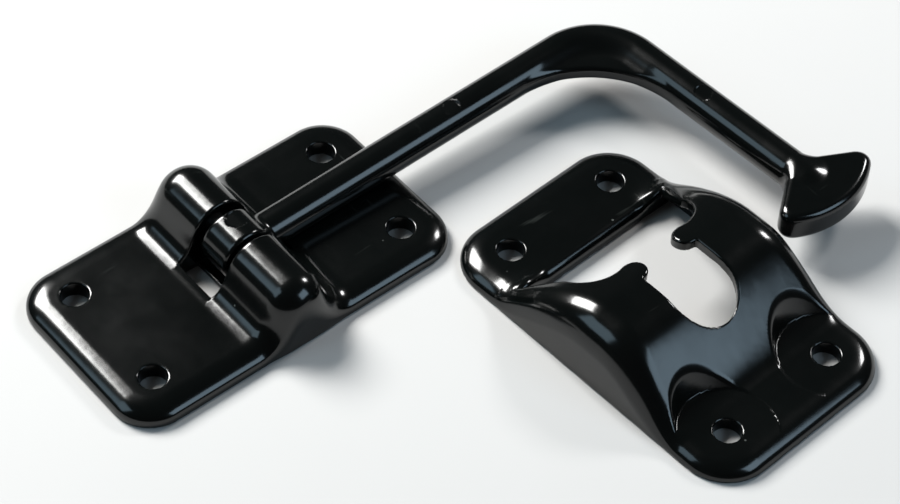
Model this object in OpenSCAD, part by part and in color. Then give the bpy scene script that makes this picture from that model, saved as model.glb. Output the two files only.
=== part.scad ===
// Door holder in two halves: a hinge plate with a swinging T-headed arm, and the keeper
// that catches the head. Both halves are glossy moulded plastic, and they lie side by side
// on one flat surface, z = 0. +Z points away from that surface. The origin is the middle
// of the hinge plate's screw pattern, on its mounting face. The hinge turns about Y, and
// +X runs along the plate towards the elbow of the arm.

/* [Hinge plate] */
// Length of the hinge plate, across the hinge
plate_l = 85.6; // [82:0.5:100]
// Width of the hinge plate, along the hinge
plate_w = 47.3; // [46:0.1:56]
// Thickness of the hinge plate
plate_t = 4; // [3.8:0.1:4.2]
// Distance between its screw holes along X
plate_holes_x = 64.8; // [60:0.1:66]
// Distance between its screw holes along Y
plate_holes_y = 27.3; // [25:0.1:28]
// Radius of its corners
plate_corner = 9.5; // [8:0.5:12]

/* [Hinge] */
// Height of the hinge axis
hinge_z = 8.4; // [8:0.1:9.5]
// Outer radius of the two fixed knuckles
barrel_r = 6.9; // [6.2:0.1:7.5]
// Radius of the steel hinge pin
pin_r = 2.4; // [1.8:0.1:2.8]
// Length of the hinge pin
pin_l = 33.6; // [24:0.1:36]

/* [Arm] */
// Distance from the hinge axis to the axis of the leg
arm_l = 101.6; // [90:0.1:160]
// Radius of the round bar that the arm is made of
bar_r = 4.2; // [3.6:0.1:4.5]
// Length of the leg, from the arm's axis to the end of the T head
leg_l = 73; // [55:0.1:90]
// Angle by which the leg leans outwards from square
leg_splay = 3.9; // [0:0.1:6]
// Angle at which the arm lies at rest, above level
arm_lift = 1.7; // [1.7:0.1:4]
// Width of the T head
head_w = 26.6; // [22:0.1:28]
// Thickness of the T head
head_t = 7.2; // [5:0.1:8]

/* [Keeper] */
// Width of the keeper
keeper_w = 51.8; // [50:0.1:60]
// Length of the keeper
keeper_l = 84; // [82:0.1:92]
// Thickness of the keeper's flanges
keeper_t = 3.7; // [3.6:0.1:4.2]
// Distance between its screw holes across
keeper_holes_x = 29.8; // [28:0.1:31]
// Distance between its screw holes lengthwise
keeper_holes_y = 63.1; // [62:0.1:64]
// Height of the hood
hood_h = 16.9; // [15:0.1:20]
// Width of the slot that holds the arm
slot_w = 15.8; // [12:0.1:17]

/* [Screw holes] */
// Diameter of every screw hole
screw_d = 6; // [4.5:0.1:6.4]

/* [Hidden] */
$fn = 64;
black = [0.06, 0.07, 0.07];
steel = [0.62, 0.63, 0.65];
through = 60;               // long enough to cut right through either half

// Hinge plate
edge_r = 3.5;               // rounding of the plates' upper edges
fillet_r = 7.5;             // concave fillet from plate to barrel
gap_near = -4.7;            // inner faces of the two fixed knuckles, along Y
gap_far = 6.8;
barrel_end = plate_w / 2;   // how far the barrel reaches each way along Y
barrel_round = 6;           // rounding of the barrel's ends
fillet_z = plate_t + fillet_r;
fillet_x = sqrt(pow(barrel_r + fillet_r, 2) - pow(fillet_z - hinge_z, 2));
tangent_z = hinge_z + (fillet_z - hinge_z) * barrel_r / (barrel_r + fillet_r);
slot_x = 10.8;              // half length of the gap for the arm's knuckle
floor_x = -6;               // beyond this, the gap has a thin floor
floor_t = 1.5;

// Pin
snap_gap = 0.25;            // how much narrower than the pin each side of the snap-in throat is
seat_clear = 0.03;          // radial clearance of the pin in the fixed knuckles
run_clear = 0.06;           // radial clearance of the pin in the arm
pin_chamfer = 0.5;

// Arm
arm_y = 0.8;                // the arm's axis and its knuckle along Y
knuckle_r = 6.5;
knuckle_w = 8.4;
knuckle_edge = 0.9;
rest_gap = 0.12;            // clearance under the arm at rest
arm_drop = 1.25;            // how far the bar's axis passes below the hinge axis
bend_r = 13.5;              // bend radius of the bar's centreline at the elbow
bend_start = bend_r * tan(45 - leg_splay / 2);  // from the corner to either end of the bend
leg_step = 0.1;             // how much thicker the leg is than the rest of the bar
leg_overlap = 0.3;          // how far it runs over the end of the bend
web_t = 3.4;
web_sink = 0.5;             // how far its ends run into the bar
web_r = 26;                 // radius of the web's free edge
head_len = 13;
head_end_r = 21;            // curve of the T head's end
head_tip = 4.6;             // its two round tips lie this far back from the end
head_tip_r = 2.8;

// Keeper
keeper_at = [63.5, -63.4];
keeper_turn = 3;            // the keeper lies turned by this much about Z
keeper_corner = 11;
hood_steps = 28;            // flat steps that make up the hood's curve
hood_side_r = 7.5;          // rounding of the hood along both sides
hood_front = 25;            // where the hood starts to rise, at the mouth end
hood_crest_front = 0;
hood_crest_back = -4;
hood_back = -28;            // where the hood has come down to the flange
wall = 2.8;
recess_r = 10.5;            // round recesses for the two screws behind the hood
recess_sink = 0.1;          // how far its floor lies below the flange's surface
recess_draft = 0.5;         // how much wider the recess grows for each unit of height
slot_end_y = -8.6;          // centre of the slot's round end
mouth_y = 6.3;              // where the mouth's level edge lies
mouth_half = 17.2;
mouth_r = 7;                // round corners at both ends of that edge
mouth_back = 21.5;          // the mouth reaches through the hood's front edge
mouth_back_half = 20;
sill_half = 14;             // the plate stays flat this far each way in front of the mouth
horn_y = 3.7;
horn_half = 4.7;            // half of the gap between the horns' tips
horn_r = 2.8;

// ---- shared shapes

// A rectangle with round corners
module outline(l, w, corner) {
    square([l - 2 * corner, w], center = true);
    square([l, w - 2 * corner], center = true);
    for (sx = [-1, 1], sy = [-1, 1])
        translate([sx * (l / 2 - corner), sy * (w / 2 - corner)]) circle(corner);
}

// The quarter of a disc that lies above and outside its centre
module quarter_round(r) {
    intersection() {
        circle(r);
        square(r);
    }
}

// A flat plate with round corners and a rounded upper edge, its underside at z = 0
module slab(l, w, t, corner, edge) {
    linear_extrude(t - edge) outline(l, w, corner);
    linear_extrude(t) outline(l - 2 * edge, w - 2 * edge, corner - edge);
    for (sx = [-1, 1], sy = [-1, 1])
        translate([sx * (l / 2 - corner), sy * (w / 2 - corner), t - edge])
            rotate_extrude() translate([corner - edge, 0]) quarter_round(edge);
    for (turn = [0, 180]) rotate(turn) {
        translate([0, w / 2 - edge, t - edge]) rotate([90, 0, 90])
            linear_extrude(l - 2 * corner, center = true) quarter_round(edge);
        translate([l / 2 - edge, 0, t - edge]) rotate([90, 0, 0])
            linear_extrude(w - 2 * corner, center = true) quarter_round(edge);
    }
}

// Cutters for four screw holes on a rectangle
module screw_holes(dx, dy) {
    for (sx = [-1, 1], sy = [-1, 1])
        translate([sx * dx / 2, sy * dy / 2, -1]) cylinder(d = screw_d, h = through);
}

// A round bar along Y with rounded ends, its middle at the origin
module rounded_bar(r, l, edge) {
    rotate([90, 0, 0]) rotate_extrude() {
        translate([0, -l / 2]) square([r - edge, l]);
        translate([0, -l / 2 + edge]) square([r, l - 2 * edge]);
        for (s = [-1, 1]) translate([r - edge, s * (l / 2 - edge)]) intersection() {
            circle(edge);
            translate([0, -edge]) square([edge, 2 * edge]);
        }
    }
}

// ---- hinge plate

// Section through the barrel and its fillets, in X and Z
module barrel_section() {
    translate([0, hinge_z]) circle(barrel_r);
    difference() {
        translate([-fillet_x, 0]) square([2 * fillet_x, tangent_z]);
        for (s = [-1, 1]) translate([s * fillet_x, fillet_z]) circle(fillet_r);
    }
}

module barrel() {
    straight = barrel_end - barrel_round;
    rotate([90, 0, 0]) linear_extrude(2 * straight, center = true) barrel_section();
    translate([0, 0, hinge_z]) rounded_bar(barrel_r, 2 * barrel_end, barrel_round);
    foot_end = plate_w / 2 - edge_r / 2;
    rotate([90, 0, 0]) linear_extrude(2 * foot_end, center = true) intersection() {
        barrel_section();
        translate([-fillet_x, 0]) square([2 * fillet_x, hinge_z - barrel_round / 2]);
    }
}

// The pin is pushed in from below, past a throat that is a little narrower than the pin
module pin_seat() {
    half = pin_l / 2 + seat_clear;
    translate([0, half, hinge_z]) rotate([90, 0, 0]) cylinder(r = pin_r + seat_clear, h = 2 * half);
    throat = 2 * (pin_r - snap_gap);
    translate([-throat / 2, -half, -1]) cube([throat, 2 * half, hinge_z + 1]);
}

module hinge_plate() {
    color(black) difference() {
        union() {
            slab(plate_l, plate_w, plate_t, plate_corner, edge_r);
            barrel();
        }
        translate([-slot_x, gap_near, floor_t]) cube([2 * slot_x, gap_far - gap_near, through]);
        translate([-slot_x, gap_near, -1]) cube([slot_x + floor_x, gap_far - gap_near, through]);
        translate([-fillet_x, gap_near, plate_t]) cube([2 * fillet_x, gap_far - gap_near, through]);
        pin_seat();
        screw_holes(plate_holes_x, plate_holes_y);
    }
}

// ---- hinge pin

module hinge_pin() {
    color(steel) translate([0, pin_l / 2, hinge_z]) rotate([90, 0, 0]) rotate_extrude()
        polygon([[0, 0], [pin_r - pin_chamfer, 0], [pin_r, pin_chamfer],
                 [pin_r, pin_l - pin_chamfer], [pin_r - pin_chamfer, pin_l], [0, pin_l]]);
}

// ---- arm, drawn flat around the hinge axis and then lifted to its rest angle

// Outline of the T head in the plane of the arm, the leg's axis along -Y from the elbow
module head_outline() {
    neck_y = -(leg_l - head_len);
    tip_y = -(leg_l - head_tip);
    tip_x = head_w / 2 - head_tip_r;
    intersection() {
        translate([0, -(leg_l - head_end_r)]) circle(head_end_r);
        union() {
            polygon([[-bar_r * 0.7, neck_y], [bar_r * 0.7, neck_y], [tip_x, tip_y + head_tip_r],
                     [tip_x, -leg_l], [-tip_x, -leg_l], [-tip_x, tip_y + head_tip_r]]);
            for (s = [-1, 1]) translate([s * tip_x, tip_y]) circle(head_tip_r);
        }
    }
}

module leg() {
    start = bend_start - leg_overlap;
    translate([0, -start, 0]) rotate([90, 0, 0])
        cylinder(r = bar_r + leg_step, h = leg_l - start - head_len / 2);
    linear_extrude(head_t, center = true) head_outline();
}

// Thin web in the inner corner of the elbow, ending in an arc that meets arm and leg
module web() {
    off = web_r + bar_r - web_sink;
    reach = off * tan(45 - leg_splay / 2);
    linear_extrude(web_t, center = true) difference() {
        polygon([[-1, -1], [-reach, 0], [-reach, -off], reach * [sin(leg_splay), -cos(leg_splay)]]);
        translate([-reach, -off]) circle(web_r);
    }
}

// The whole arm about the hinge axis, before it is lifted to its rest angle
module level_arm() {
    difference() {
        union() {
            rounded_bar(knuckle_r, knuckle_w, knuckle_edge);
            translate([0, 0, -arm_drop]) {
                rotate([0, 90, 0]) cylinder(r = bar_r, h = arm_l - bend_start);
                translate([arm_l, 0, 0]) {
                    translate([-bend_start, -bend_r, 0]) rotate(leg_splay)
                        rotate_extrude(angle = 90 - leg_splay) translate([bend_r, 0]) circle(bar_r);
                    rotate(leg_splay) leg();
                    web();
                }
            }
        }
        translate([0, through / 2, 0]) rotate([90, 0, 0]) cylinder(r = pin_r + run_clear, h = through);
    }
}

// The arm's underside is flat where it lies on the plate
module swing_arm() {
    color(black) difference() {
        translate([0, arm_y, hinge_z]) rotate([0, -arm_lift, 0]) level_arm();
        translate([slot_x - 1, -through / 2, plate_t + rest_gap - through])
            cube([plate_l / 2 + 3 - slot_x, through, through]);
    }
}

// ---- keeper

function clamp01(t) = max(0, min(1, t));

// Share of the hood's height, 0 at the flanges and 1 on the crest
function hood_share(y) =
    y > hood_crest_front
    ? pow(sin(90 * clamp01((hood_front - y) / (hood_front - hood_crest_front))), 1.15)
    : pow(cos(90 * pow(clamp01((hood_crest_back - y) / (hood_crest_back - hood_back)), 1.1)), 1.8);

// Side view of the hood's top between y0 and y1, in Y and Z, down to the level base_z
module hood_profile(y0, y1, steps, base_z, floor_z, top_z) {
    polygon(concat(
        [[y1, base_z], [y0, base_z]],
        [for (j = [0 : steps]) let (y = y0 + (y1 - y0) * j / steps)
            [y, floor_z + (top_z - floor_z) * hood_share(y)]]));
}

// Front view of the hood, in X and Z: upright sides and rounded shoulders
module hood_section(w, top_z, shoulder) {
    translate([-w / 2, -2]) square([w, top_z - shoulder + 2]);
    translate([-w / 2 + shoulder, -2]) square([w - 2 * shoulder, top_z + 2]);
    for (s = [-1, 1]) translate([s * (w / 2 - shoulder), top_z - shoulder]) circle(shoulder);
}

module hood_solid(w, y0, y1, steps, base_z, floor_z, top_z) {
    intersection() {
        rotate([90, 0, 90]) linear_extrude(w, center = true)
            hood_profile(y0, y1, steps, base_z, floor_z, top_z);
        rotate([90, 0, 0]) linear_extrude(3 * hood_front - hood_back, center = true)
            hood_section(w, top_z, hood_side_r);
    }
}

// The wide mouth, the two horns that narrow it and the round-ended slot behind them
module mouth_outline() {
    bowl_y = mouth_y + mouth_r;
    difference() {
        union() {
            hull() for (s = [-1, 1]) translate([s * (mouth_half - mouth_r), bowl_y]) circle(mouth_r);
            polygon([[-mouth_half, bowl_y], [mouth_half, bowl_y],
                     [mouth_back_half, mouth_back], [-mouth_back_half, mouth_back]]);
            translate([0, slot_end_y]) circle(d = slot_w);
            translate([-slot_w / 2, slot_end_y]) square([slot_w, bowl_y - slot_end_y]);
        }
        for (s = [-1, 1]) translate([s * (horn_half + horn_r), horn_y]) circle(horn_r);
    }
}

// Room for a screwdriver around the two screws behind the hood, grown by margin
module recesses(margin) {
    for (s = [-1, 1])
        translate([s * keeper_holes_x / 2, -keeper_holes_y / 2, keeper_t - recess_sink - margin])
            cylinder(r1 = recess_r + margin * (1 - recess_draft),
                     r2 = recess_r + margin + recess_draft * hood_h, h = hood_h + margin);
}

// Takes the hood's foot away in front of the mouth, between slopes at both sides
module sill_cut() {
    rise = 6;
    start = mouth_back - 2;
    end = hood_front + 1;
    translate([0, end, keeper_t]) rotate([90, 0, 0]) linear_extrude(end - start)
        polygon([[-sill_half, 0], [sill_half, 0], [sill_half + rise, rise], [-sill_half - rise, rise]]);
}

module keeper() {
    color(black) translate([keeper_at.x, keeper_at.y, 0]) rotate(keeper_turn) difference() {
        union() {
            slab(keeper_w, keeper_l, keeper_t, keeper_corner, edge_r);
            hood_solid(keeper_w - 0.1, hood_back, hood_front, hood_steps, 0.5, keeper_t - 0.2, hood_h);
        }
        difference() {
            hood_solid(keeper_w - 2 * wall, hood_back + 4, mouth_back, hood_steps / 2, -1, 0,
                       hood_h - wall);
            recesses(wall);
        }
        translate([0, 0, -1]) linear_extrude(through) mouth_outline();
        sill_cut();
        recesses(0);
        screw_holes(keeper_holes_x, keeper_holes_y);
    }
}

hinge_plate();
hinge_pin();
swing_arm();
keeper();
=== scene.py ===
import math

import bpy
import numpy as np
from mathutils import Matrix, Vector


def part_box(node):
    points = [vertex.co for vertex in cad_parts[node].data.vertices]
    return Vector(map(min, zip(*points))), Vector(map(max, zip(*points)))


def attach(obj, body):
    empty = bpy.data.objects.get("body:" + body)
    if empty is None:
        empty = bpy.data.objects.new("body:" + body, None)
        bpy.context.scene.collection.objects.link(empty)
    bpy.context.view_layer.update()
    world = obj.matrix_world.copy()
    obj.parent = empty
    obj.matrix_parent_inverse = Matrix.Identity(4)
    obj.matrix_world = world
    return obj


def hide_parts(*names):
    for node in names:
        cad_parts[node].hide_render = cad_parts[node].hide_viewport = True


# Door holder: a hinge plate with a swinging T-headed arm, and the keeper that catches the head.
# Each moulding is described as a field, a function that is negative inside the piece and grows
# with the distance from its surface. Fillets and rounded edges come from how fields are joined.
# All lengths in the fields are millimetres in the row frame.

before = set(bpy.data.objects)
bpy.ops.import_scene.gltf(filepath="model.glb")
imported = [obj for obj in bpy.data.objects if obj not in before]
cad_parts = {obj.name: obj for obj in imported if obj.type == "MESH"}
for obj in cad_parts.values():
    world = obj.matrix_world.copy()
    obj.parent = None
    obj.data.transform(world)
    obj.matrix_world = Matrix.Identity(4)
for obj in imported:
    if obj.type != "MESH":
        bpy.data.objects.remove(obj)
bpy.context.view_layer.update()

# ---- dimensions

SCREW_R = 3.0
EDGE_R = 3.6
EDGE_STRETCH = 0.64          # the rounded edges are wider than they are high

PLATE_L, PLATE_W, PLATE_T, PLATE_CORNER = 85.6, 47.3, 4.0, 9.5
PLATE_HOLES = (32.4, 13.65)
HINGE_Z, BARREL_R, BARREL_END, BARREL_ROUND = 8.4, 6.9, 23.6, 6.0
FILLET_R = 7.5
WINDOW_X, WINDOW_Y, FLOOR_X, FLOOR_T = 10.7, (-4.7, 6.8), -6.0, 1.5
BESIDE_X, BESIDE_LIFT = 14.0, 0.1   # the fillets stop this far out, so that the arm can lie between them
PIN_R, PIN_HALF, THROAT_HALF = 2.4, 16.83, 2.15
SEAT_CLEAR, RUN_CLEAR = 0.03, 0.06  # around the pin, in the fixed knuckles and in the arm

ARM_Y, ARM_DROP, ARM_LIFT = 0.8, 1.25, math.radians(1.7)
ARM_L, ARM_R = 101.6, 4.18
LEG_L, LEG_SPLAY = 62.0, math.radians(3.9)
KNUCKLE_R, KNUCKLE_HALF, KNUCKLE_EDGE = 6.5, 4.2, 0.9
BEND_R = 13.5
WEB_R, WEB_T, WEB_SINK = 26.0, 3.6, 0.6
WEB_FILLET, WEB_FILLET_MIN, WEB_TAPER = 1.95, 0.05, 10.0
UNDER_GAP, UNDER_X, UNDER_PAST = 0.14, 10.4, 3.0  # the flat under the arm, where it lies over the plate
# Shallow round marks: place along and across the arm, radius, height of the mark's floor
EJECTOR_MARKS = (((1.0, 1.3), 2.2, 6.1), ((58.0, -0.3), 1.9, 2.6), ((103.4, -31.7), 1.9, 2.65))
HEAD_T, HEAD_TOP_S, HEAD_END_R, HEAD_SINK = 7.5, 73.2, 21.0, 0.3
HEAD_TIP_R, HEAD_EDGE = 4.2, 1.8
NECK_S, NECK_HALF = 59.3, 3.8
FLANK_ACROSS, FLANK_ALONG = 0.54, 0.84            # direction in which the head's flanks face

KEEPER_AT, KEEPER_TURN = (63.5, -63.4), math.radians(3)
KEEPER_W, KEEPER_L, KEEPER_T, KEEPER_CORNER = 51.8, 84.0, 3.7, 11.0
KEEPER_HOLES = (14.9, 31.55)
HOOD_H, HOOD_FRONT, CREST_FRONT, CREST_BACK, HOOD_BACK = 16.9, 25.0, 0.0, -4.0, -28.0
FRONT_POWER, BACK_START_POWER, BACK_POWER = 1.15, 1.1, 1.8  # these shape the hood's two slopes
WALL = 2.8
RECESS_R, RECESS_DRAFT, RECESS_END_Y = 10.5, 0.5, -12.0
SLOT_HALF, SLOT_END_Y = 7.9, -7.9
MOUTH_Y, MOUTH_HALF, MOUTH_R, MOUTH_BACK, MOUTH_FLARE = 6.3, 17.2, 7.0, 21.0, 0.4
BOWL_HALF = 20.0
SILL_HALF = 13.0
HORN_Y, HORN_HALF, HORN_R = 3.7, 4.7, 2.8
LIP_R, LIP_MOUTH, LIP_SILL = 0.5, 0.3, 1.6        # rounding of the rim, and what two stretches add to it


# ---- joining fields

def above_zero(a):
    return np.maximum(a, 0.0)


def both(a, b, r):
    """Inside a and inside b, with the edge between them rounded to radius r."""
    return np.hypot(above_zero(a + r), above_zero(b + r)) - r + np.minimum(np.maximum(a + r, b + r), 0.0)


def either(a, b, r):
    """Inside a or inside b, with a concave fillet of radius r where they meet."""
    return np.maximum(np.minimum(a, b), r) - np.hypot(above_zero(r - a), above_zero(r - b))


def without(a, b, r):
    """a with b cut out of it, the rim rounded to radius r."""
    return both(a, -b, r)


def rectangle(x, y, half_x, half_y, corner):
    qx = np.abs(x) - half_x + corner
    qy = np.abs(y) - half_y + corner
    return np.hypot(above_zero(qx), above_zero(qy)) + np.minimum(np.maximum(qx, qy), 0.0) - corner


def screw_holes(body, x, y, at):
    hole = np.hypot(np.abs(x) - at[0], np.abs(y) - at[1]) - SCREW_R
    return without(body, hole, 0.35)


# ---- hinge plate

def hinge_plate_field(x, y, z):
    outline = rectangle(x, y, PLATE_L / 2, PLATE_W / 2, PLATE_CORNER)
    slab = both(outline * EDGE_STRETCH, z - PLATE_T, EDGE_R)
    across = np.hypot(x, z - HINGE_Z)
    barrel = both(across - BARREL_R, np.abs(y) - BARREL_END, BARREL_ROUND)
    body = both(either(slab, barrel, FILLET_R), outline, 0.8)
    body = both(body, -z, 0.25)
    window_mid = (WINDOW_Y[0] + WINDOW_Y[1]) / 2
    window = rectangle(x, y - window_mid, WINDOW_X, (WINDOW_Y[1] - WINDOW_Y[0]) / 2, 0.5)
    body = without(body, np.maximum(window, np.minimum(x - FLOOR_X, FLOOR_T - z)), 0.5)
    beside = rectangle(x, y - window_mid, BESIDE_X, (WINDOW_Y[1] - WINDOW_Y[0]) / 2, 0.5)
    body = without(body, np.maximum(beside, PLATE_T + BESIDE_LIFT - z), 0.1)
    seat = np.maximum(across - PIN_R - SEAT_CLEAR, np.abs(y) - PIN_HALF)
    throat = np.maximum(np.maximum(np.abs(x) - THROAT_HALF, z - HINGE_Z), np.abs(y) - PIN_HALF)
    body = without(body, np.minimum(seat, throat), 0.2)
    return screw_holes(body, x, y, PLATE_HOLES)


# ---- arm

BEND_START = BEND_R * math.tan((math.pi / 2 - LEG_SPLAY) / 2)
WEB_OFF = WEB_R + ARM_R - WEB_SINK
WEB_REACH = WEB_OFF * math.tan((math.pi / 2 - LEG_SPLAY) / 2)


def arm_local(x, y, z):
    """The arm's own level frame, its origin on the hinge axis."""
    dz = z - HINGE_Z
    return (x * math.cos(ARM_LIFT) + dz * math.sin(ARM_LIFT), y - ARM_Y,
            dz * math.cos(ARM_LIFT) - x * math.sin(ARM_LIFT))


def to_segment(x, y, length):
    """Distance in the plane from a segment that runs from the origin along +x."""
    return np.hypot(x - np.clip(x, 0.0, length), y)


def head_field(s, n, z):
    """The T head; s runs along the leg from the elbow's corner and n across it."""
    flank = (np.abs(n) - NECK_HALF) * FLANK_ACROSS - (s - NECK_S) * FLANK_ALONG
    end = np.hypot(s - HEAD_TOP_S + HEAD_END_R, n) - HEAD_END_R
    outline = both(flank, end, HEAD_TIP_R)
    return both(outline, np.abs(z) - HEAD_T / 2, HEAD_EDGE)


def swing_arm_field(x, y, z):
    u, v, w = arm_local(x, y, z)
    bar_w = w + ARM_DROP
    cu, cv = ARM_L - BEND_START, -BEND_R
    s = (u - ARM_L) * math.sin(LEG_SPLAY) - v * math.cos(LEG_SPLAY)
    n = (u - ARM_L) * math.cos(LEG_SPLAY) + v * math.sin(LEG_SPLAY)
    shank = np.hypot(to_segment(u, v, cu), bar_w) - ARM_R
    leg = np.hypot(to_segment(s - BEND_START, n, LEG_L - BEND_START), bar_w) - ARM_R
    in_bend = (u > cu) & (s < BEND_START)
    bend = np.hypot(np.hypot(u - cu, v - cv) - BEND_R, bar_w) - ARM_R
    bar = np.minimum(np.minimum(shank, leg), np.where(in_bend, bend, 1e3))
    web_u = u - (ARM_L - WEB_REACH)
    rho = np.hypot(web_u, v + WEB_OFF)
    web_area = np.maximum(np.maximum(WEB_R - rho, np.maximum(v, n)), np.maximum(-web_u, s - WEB_REACH))
    web_area = np.maximum(web_area, np.where(in_bend, np.hypot(u - cu, v - cv) - BEND_R, -1e3))
    web = both(web_area, np.abs(bar_w) - WEB_T / 2, 1.0)
    from_end = np.minimum(web_u, WEB_REACH - s)
    web_fillet = WEB_FILLET_MIN + WEB_FILLET * np.clip(from_end / WEB_TAPER, 0.0, 1.0)
    body = either(bar, web, web_fillet)
    body = either(body, head_field(s, n, bar_w + HEAD_SINK), 1.6)
    knuckle = both(np.hypot(u, w) - KNUCKLE_R, np.abs(v) - KNUCKLE_HALF, KNUCKLE_EDGE)
    body = either(body, knuckle, 1.2)
    for at, radius, level in EJECTOR_MARKS:
        mark = np.maximum(np.hypot(u - at[0], v - at[1]) - radius, level - w)
        body = without(body, mark, 0.3)
    under = np.maximum(z - (PLATE_T + UNDER_GAP), np.maximum(UNDER_X - x, x - PLATE_L / 2 - UNDER_PAST))
    body = without(body, under, 0.3)
    return without(body, np.hypot(u, w) - PIN_R - RUN_CLEAR, 0.2)


# ---- keeper

def keeper_local(x, y):
    dx, dy = x - KEEPER_AT[0], y - KEEPER_AT[1]
    return (dx * math.cos(KEEPER_TURN) + dy * math.sin(KEEPER_TURN),
            dy * math.cos(KEEPER_TURN) - dx * math.sin(KEEPER_TURN))


def hood_share(y):
    """Share of the hood's height, 0 at the flanges and 1 on the crest."""
    front = np.clip((HOOD_FRONT - y) / (HOOD_FRONT - CREST_FRONT), 0.0, 1.0)
    back = np.clip((CREST_BACK - y) / (CREST_BACK - HOOD_BACK), 0.0, 1.0)
    rise = np.sin(front * math.pi / 2) ** FRONT_POWER
    return rise * np.cos(back ** BACK_START_POWER * math.pi / 2) ** BACK_POWER


def hood_rise(y):
    """Height of the hood above the flange; at the mouth end it grows out of the flange softly."""
    front = np.clip((HOOD_FRONT - y) / (HOOD_FRONT - CREST_FRONT), -1.0, 1.0)
    ahead = np.where(front < 0, np.sin(front * math.pi / 2), hood_share(y))
    rise = (HOOD_H - KEEPER_T - 0.05) * ahead
    return (rise + np.hypot(rise, 1.4 * np.clip(y / 10.0, 0.0, 1.0))) / 2


def sill(x, y):
    """0 where the plate stays flat in front of the mouth, 1 where the hood rises in full."""
    beside = np.clip((np.abs(x) - SILL_HALF) / 7.0, 0.0, 1.0)
    behind = np.clip((MOUTH_BACK - y) / 4.0, 0.0, 1.0)
    low = (1.0 - beside * beside * (3 - 2 * beside)) * (1.0 - behind * behind * (3 - 2 * behind))
    return 1.0 - low


def mouth_outline(x, y):
    """The wide mouth, the slot behind it, and the two round horns that narrow the way between them."""
    ax = np.abs(x)
    bowl = rectangle(x, y - MOUTH_Y - BOWL_HALF, MOUTH_HALF, BOWL_HALF, MOUTH_R)
    corner = np.maximum((ax - MOUTH_HALF) - (y - MOUTH_Y - MOUTH_R) * MOUTH_FLARE, MOUTH_Y + MOUTH_R - y)
    slot = np.where(y > SLOT_END_Y, ax, np.hypot(ax, y - SLOT_END_Y)) - SLOT_HALF
    slot = np.maximum(slot, y - MOUTH_Y - 1.0)
    way = np.minimum(np.maximum(np.minimum(bowl, corner), y - MOUTH_BACK), slot)
    horn = np.hypot(ax - HORN_HALF - HORN_R, y - HORN_Y) - HORN_R
    return without(way, horn, 0.5)


def keeper_field(x, y, z):
    x, y = keeper_local(x, y)
    outline = rectangle(x, y, KEEPER_W / 2, KEEPER_L / 2, KEEPER_CORNER)
    share = hood_share(y)
    top = KEEPER_T + hood_rise(y) * sill(x, y)
    steep = np.hypot(1.0, (hood_rise(y + 0.05) - hood_rise(y - 0.05)) / 0.1)
    stretch = EDGE_STRETCH + (1.0 - EDGE_STRETCH) * np.minimum(1.0, 2 * share)
    body = both(outline * stretch, (z - top) / steep, EDGE_R + 3.9 * share)
    lip = LIP_R + LIP_MOUTH * np.clip(y / 8.0, 0.0, 1.0) + LIP_SILL * np.clip((y - 14.0) / 7.0, 0.0, 1.0)
    body = without(body, mouth_outline(x, y), lip)
    body = both(body, -z, 0.25)
    hollow = np.maximum(outline + WALL, (z - (HOOD_H - WALL) * share) / steep)
    hollow = np.maximum(hollow, np.maximum(y - MOUTH_BACK, HOOD_BACK + 4 - y))
    away = np.hypot(np.abs(x) - KEEPER_HOLES[0], y + KEEPER_HOLES[1])
    wall = (away - RECESS_R - RECESS_DRAFT * (z - KEEPER_T)) / math.hypot(1, RECESS_DRAFT)
    recess = np.maximum(np.maximum(wall, KEEPER_T - z), y - RECESS_END_Y)
    body = without(body, recess, 0.5)
    body = without(body, np.maximum(hollow, WALL - wall), 0.3)
    return screw_holes(body, x, y, KEEPER_HOLES)


# ---- turning a field into a mesh

def gradient(field, p, h=0.04):
    g = np.empty_like(p)
    for axis in range(3):
        d = np.zeros(3)
        d[axis] = h
        g[:, axis] = (field(*(p + d).T) - field(*(p - d).T)) / (2 * h)
    return g


def onto_surface(field, p, rounds):
    """Moves points along the field's gradient until they lie on its zero surface."""
    for _ in range(rounds):
        g = gradient(field, p)
        step = field(*p.T) / np.maximum((g * g).sum(1), 0.05)
        p = p - np.clip(step, -0.4, 0.4)[:, None] * g
    return p


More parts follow.
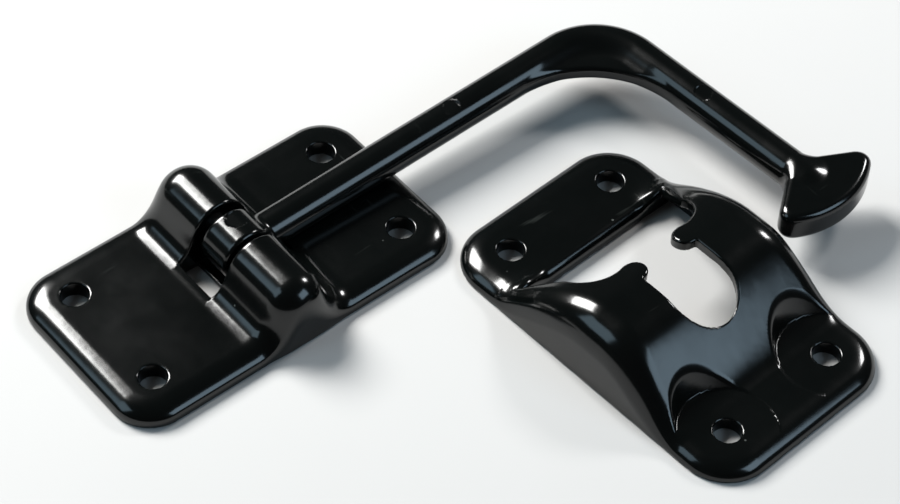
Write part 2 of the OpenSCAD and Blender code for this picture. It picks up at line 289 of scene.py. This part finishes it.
def surface_net(field, low, high, step):
    """Vertices and quads of a field's zero surface: one vertex in each grid cell that it crosses."""
    axes = [np.arange(a - 1.3 * step, b + 2 * step, step) for a, b in zip(low, high)]
    value = field(*np.meshgrid(*axes, indexing="ij", sparse=True))
    inside = value < 0
    cells = tuple(n - 1 for n in value.shape)
    total = np.zeros(cells + (3,))
    count = np.zeros(cells)
    crossings = []
    for axis in range(3):
        a = np.moveaxis(value, axis, 0)
        sign = np.moveaxis(inside, axis, 0)
        cross = sign[:-1] != sign[1:]
        t = np.where(cross, a[:-1] / np.where(cross, a[:-1] - a[1:], 1.0), 0.0)
        others = [k for k in range(3) if k != axis]
        spots = np.stack(np.meshgrid(axes[axis][:-1], axes[others[0]], axes[others[1]], indexing="ij"), -1)
        spots[..., 0] += t * step
        order = np.argsort([axis] + others)
        spots = np.moveaxis(spots[..., order] * cross[..., None], 0, axis)
        mask = np.moveaxis(cross, 0, axis)
        crossings.append((mask, np.moveaxis(sign[:-1], 0, axis)))
        for i in (0, 1):
            for j in (0, 1):
                pick = [slice(None)] * 3
                pick[others[0]] = slice(i, i + cells[others[0]])
                pick[others[1]] = slice(j, j + cells[others[1]])
                total += spots[tuple(pick)]
                count += mask[tuple(pick)]
    used = count > 0
    index = np.full(cells, -1)
    index[used] = np.arange(used.sum())
    points = total[used] / count[used][:, None]
    quads = []
    for axis, (mask, low_inside) in enumerate(crossings):
        b, c = [(1, 2), (2, 0), (0, 1)][axis]
        spot = np.argwhere(mask)
        flip = ~low_inside[mask]
        corners = []
        for db, dc in ((-1, -1), (0, -1), (0, 0), (-1, 0)):
            cell = spot.copy()
            cell[:, b] += db
            cell[:, c] += dc
            corners.append(index[tuple(cell.T)])
        quad = np.stack(corners, 1)
        quad[flip] = quad[flip][:, ::-1]
        quads.append(quad)
    return points, np.concatenate(quads)


def relax(field, p, quads, rounds):
    """Slides the vertices along the surface until they are evenly spread."""
    a = np.concatenate([quads[:, k] for k in range(4)])
    b = np.concatenate([quads[:, (k + 1) % 4] for k in range(4)])
    number = np.bincount(a, minlength=len(p)) + np.bincount(b, minlength=len(p))
    for _ in range(rounds):
        mean = np.empty_like(p)
        for k in range(3):
            total = np.bincount(a, p[b, k], len(p)) + np.bincount(b, p[a, k], len(p))
            mean[:, k] = total / number
        g = gradient(field, p)
        g /= np.linalg.norm(g, axis=1)[:, None] + 1e-9
        move = 0.5 * (mean - p)
        p = p + move - (move * g).sum(1)[:, None] * g
        p = onto_surface(field, p, 1)
    return p


def moulding(name, field, low, high, step):
    """One piece, meshed from its field between two corners and shaded with the field's own normals."""
    points, quads = surface_net(field, low, high, step)
    points = onto_surface(field, points, 4)
    points = relax(field, points, quads, 5)
    points = onto_surface(field, points, 2)
    normals = gradient(field, points)
    normals /= np.linalg.norm(normals, axis=1)[:, None] + 1e-9
    mesh = bpy.data.meshes.new(name)
    mesh.from_pydata((points * 0.001).tolist(), [], quads.tolist())
    mesh.validate()
    mesh.shade_smooth()
    mesh.normals_split_custom_set_from_vertices(normals.tolist())
    piece = bpy.data.objects.new(name, mesh)
    bpy.context.scene.collection.objects.link(piece)
    return piece


# ---- materials

def new_material(name):
    material = bpy.data.materials.new(name)
    material.use_nodes = True
    nodes = material.node_tree.nodes
    return material, nodes, material.node_tree.links, nodes["Principled BSDF"]


def add(nodes, kind, **settings):
    node = nodes.new(kind)
    for key, value in settings.items():
        if key in node.inputs:
            node.inputs[key].default_value = value
        else:
            setattr(node, key, value)
    return node


def noise(nodes, links, place, scale, detail=3.0, rough=0.5):
    node = add(nodes, "ShaderNodeTexNoise", Scale=scale, Detail=detail, Roughness=rough)
    links.new(place, node.inputs["Vector"])
    return node.outputs["Fac"]


def remap(nodes, links, value, low, high, to_low, to_high):
    node = add(nodes, "ShaderNodeMapRange")
    for key, number in (("From Min", low), ("From Max", high), ("To Min", to_low), ("To Max", to_high)):
        node.inputs[key].default_value = number
    links.new(value, node.inputs["Value"])
    return node.outputs["Result"]


def calc(nodes, links, operation, a, b):
    node = add(nodes, "ShaderNodeMath", operation=operation)
    for socket, value in zip(node.inputs, (a, b)):
        if isinstance(value, (int, float)):
            socket.default_value = value
        else:
            links.new(value, socket)
    return node.outputs["Value"]


def glossy_moulding():
    """Black moulded plastic: a glossy skin with a slight wobble, fine scuffs, and specks of dust."""
    material, nodes, links, shader = new_material("glossy_moulding")
    place = add(nodes, "ShaderNodeTexCoord").outputs["Object"]
    shader.inputs["IOR"].default_value = 1.46
    # Dust: small pale dots, only in some patches
    cells = add(nodes, "ShaderNodeTexVoronoi", Scale=330.0)
    links.new(place, cells.inputs["Vector"])
    dots = remap(nodes, links, cells.outputs["Distance"], 0.06, 0.11, 1.0, 0.0)
    chosen = add(nodes, "ShaderNodeSeparateColor")
    links.new(cells.outputs["Color"], chosen.inputs["Color"])
    rare = remap(nodes, links, chosen.outputs["Red"], 0.93, 0.94, 0.0, 1.0)
    dust = calc(nodes, links, "MULTIPLY", dots, rare)
    # Scuffs: thin broken lines from two stretched noises
    scuffs = None
    for turn, stretch in ((0.6, (60.0, 900.0, 900.0)), (-0.9, (900.0, 70.0, 900.0))):
        mapping = add(nodes, "ShaderNodeMapping", Scale=stretch, Rotation=(0.0, 0.2, turn))
        links.new(place, mapping.inputs["Vector"])
        lines = noise(nodes, links, mapping.outputs["Vector"], 1.0, 2.0)
        thin = remap(nodes, links, lines, 0.70, 0.76, 0.0, 1.0)
        scuffs = thin if scuffs is None else calc(nodes, links, "MAXIMUM", scuffs, thin)
    patches = remap(nodes, links, noise(nodes, links, place, 45.0), 0.52, 0.64, 0.0, 1.0)
    scuffs = calc(nodes, links, "MULTIPLY", scuffs, patches)
    # Colour: near black with a slight green-blue cast, a little uneven, lighter where dusty
    darkest, lightest = (0.0006, 0.0009, 0.0009, 1), (0.0012, 0.0018, 0.0017, 1)
    tint = add(nodes, "ShaderNodeMixRGB", Color1=darkest, Color2=lightest)
    links.new(noise(nodes, links, place, 60.0, 4.0), tint.inputs["Fac"])
    dusty = add(nodes, "ShaderNodeMixRGB", Color2=(0.035, 0.04, 0.037, 1))
    links.new(tint.outputs["Color"], dusty.inputs["Color1"])
    mark = calc(nodes, links, "MAXIMUM", dust, calc(nodes, links, "MULTIPLY", scuffs, 0.25))
    links.new(mark, dusty.inputs["Fac"])
    links.new(dusty.outputs["Color"], shader.inputs["Base Color"])
    # Roughness: glossy, with slightly duller handled patches
    dull = remap(nodes, links, noise(nodes, links, place, 85.0, 5.0, 0.6), 0.35, 0.7, 0.13, 0.18)
    rough = calc(nodes, links, "ADD", dull, calc(nodes, links, "MULTIPLY", mark, 0.25))
    links.new(rough, shader.inputs["Roughness"])
    # Relief: the skin's wobble, plus the grain of the dust and scuffs
    wobble = noise(nodes, links, place, 260.0, 2.0, 0.4)
    first = add(nodes, "ShaderNodeBump", Strength=0.10, Distance=0.0002)
    links.new(wobble, first.inputs["Height"])
    second = add(nodes, "ShaderNodeBump", Strength=0.35, Distance=0.00005)
    links.new(mark, second.inputs["Height"])
    links.new(first.outputs["Normal"], second.inputs["Normal"])
    links.new(second.outputs["Normal"], shader.inputs["Normal"])
    return material


def drawn_steel():
    """Drawn steel rod: fine lines along its length and a faint grey film."""
    material, nodes, links, shader = new_material("drawn_steel")
    place = add(nodes, "ShaderNodeTexCoord").outputs["Object"]
    shader.inputs["Metallic"].default_value = 1.0
    mapping = add(nodes, "ShaderNodeMapping", Scale=(4000.0, 60.0, 4000.0))
    links.new(place, mapping.inputs["Vector"])
    lines = noise(nodes, links, mapping.outputs["Vector"], 1.0, 4.0)
    film = noise(nodes, links, place, 220.0, 4.0)
    tint = add(nodes, "ShaderNodeMixRGB", Color1=(0.42, 0.42, 0.43, 1), Color2=(0.66, 0.67, 0.68, 1))
    links.new(film, tint.inputs["Fac"])
    links.new(tint.outputs["Color"], shader.inputs["Base Color"])
    links.new(remap(nodes, links, lines, 0.3, 0.7, 0.22, 0.42), shader.inputs["Roughness"])
    bump = add(nodes, "ShaderNodeBump", Strength=0.25, Distance=0.00004)
    links.new(lines, bump.inputs["Height"])
    links.new(bump.outputs["Normal"], shader.inputs["Normal"])
    return material


# ---- the object

FINENESS = 1.0
black = glossy_moulding()
MOULDINGS = (
    ("plate_moulding", "hinge_plate", "hinge_half", hinge_plate_field, 0.45),
    ("arm_moulding", "swing_arm", "arm", swing_arm_field, 0.35),
    ("keeper_moulding", "keeper", "keeper_half", keeper_field, 0.42),
)
for name, node, body, field, step in MOULDINGS:
    low, high = (np.array(corner) * 1000 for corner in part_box(node))
    piece = moulding(name, field, low, high, step * FINENESS)
    piece.data.materials.append(black)
    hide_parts(node)
    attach(piece, body)

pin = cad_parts["hinge_pin"]
pin.data.materials.clear()
pin.data.materials.append(drawn_steel())

# ---- floor, light and camera

CENTRE = Vector((0.03854, -0.02291, 0.0))


def pale_floor():
    material, nodes, links, shader = new_material("pale_floor")
    place = add(nodes, "ShaderNodeTexCoord").outputs["Object"]
    tint = add(nodes, "ShaderNodeMixRGB", Color1=(0.425, 0.42, 0.415, 1), Color2=(0.445, 0.44, 0.435, 1))
    links.new(noise(nodes, links, place, 12.0), tint.inputs["Fac"])
    links.new(tint.outputs["Color"], shader.inputs["Base Color"])
    shader.inputs["Roughness"].default_value = 0.9
    mesh = bpy.data.meshes.new("floor")
    half = 3.0
    corners = [(-half, -half, 0), (half, -half, 0), (half, half, 0), (-half, half, 0)]
    mesh.from_pydata(corners, [], [(0, 1, 2, 3)])
    mesh.materials.append(material)
    floor = bpy.data.objects.new("floor", mesh)
    floor.location = (CENTRE.x, CENTRE.y, -0.0002)
    bpy.context.scene.collection.objects.link(floor)


def softbox(name, azimuth, elevation, width, height, radiance, tint):
    """A rectangular lamp one metre away in the given direction, facing the object."""
    a, e = math.radians(azimuth), math.radians(elevation)
    away = Vector((math.cos(a) * math.cos(e), math.sin(a) * math.cos(e), math.sin(e)))
    light = bpy.data.lights.new(name, "AREA")
    light.shape = "RECTANGLE"
    light.size, light.size_y = width, height
    light.energy = radiance * math.pi * width * height
    light.color = tint
    lamp = bpy.data.objects.new(name, light)
    lamp.location = CENTRE + away
    lamp.rotation_euler = away.to_track_quat("Z", "Y").to_euler()
    bpy.context.scene.collection.objects.link(lamp)


pale_floor()
softbox("softbox_back", 98, 43, 0.44, 0.46, 40.0, (1.0, 1.0, 0.98))
softbox("softbox_left", 153, 39, 0.40, 0.48, 2.5, (0.60, 0.84, 1.0))
softbox("softbox_front", -66, 35, 0.52, 0.44, 4.3, (0.60, 0.82, 1.0))
softbox("softbox_right", 2, 38, 0.18, 0.18, 40.0, (1.0, 1.0, 1.0))

world = bpy.data.worlds.new("studio")
world.use_nodes = True
world.node_tree.nodes["Background"].inputs["Color"].default_value = (0.93, 0.98, 1.0, 1.0)
world.node_tree.nodes["Background"].inputs["Strength"].default_value = 0.045
bpy.context.scene.world = world
bpy.context.scene.view_settings.view_transform = "Standard"


def photo_camera():
    """The camera looks from the front left and above, 0.6 m away, and is turned slightly."""
    distance = 0.5947
    azimuth, elevation, roll = math.radians(-42.884), math.radians(49.586), math.radians(3.714)
    back = Vector((math.sin(azimuth) * math.cos(elevation), -math.cos(azimuth) * math.cos(elevation),
                   math.sin(elevation)))
    level = (-back).cross(Vector((0, 0, 1))).normalized()
    over = back.cross(level)
    right = level * math.cos(roll) + over * math.sin(roll)
    up = over * math.cos(roll) - level * math.sin(roll)
    data = bpy.data.cameras.new("photo_camera")
    data.sensor_width = 36.0
    data.lens = 111.81
    camera = bpy.data.objects.new("photo_camera", data)
    turn = Matrix((right, up, back)).transposed().to_4x4()
    camera.matrix_world = Matrix.Translation(CENTRE + back * distance) @ turn
    bpy.context.scene.collection.objects.link(camera)
    bpy.context.scene.camera = camera


photo_camera()
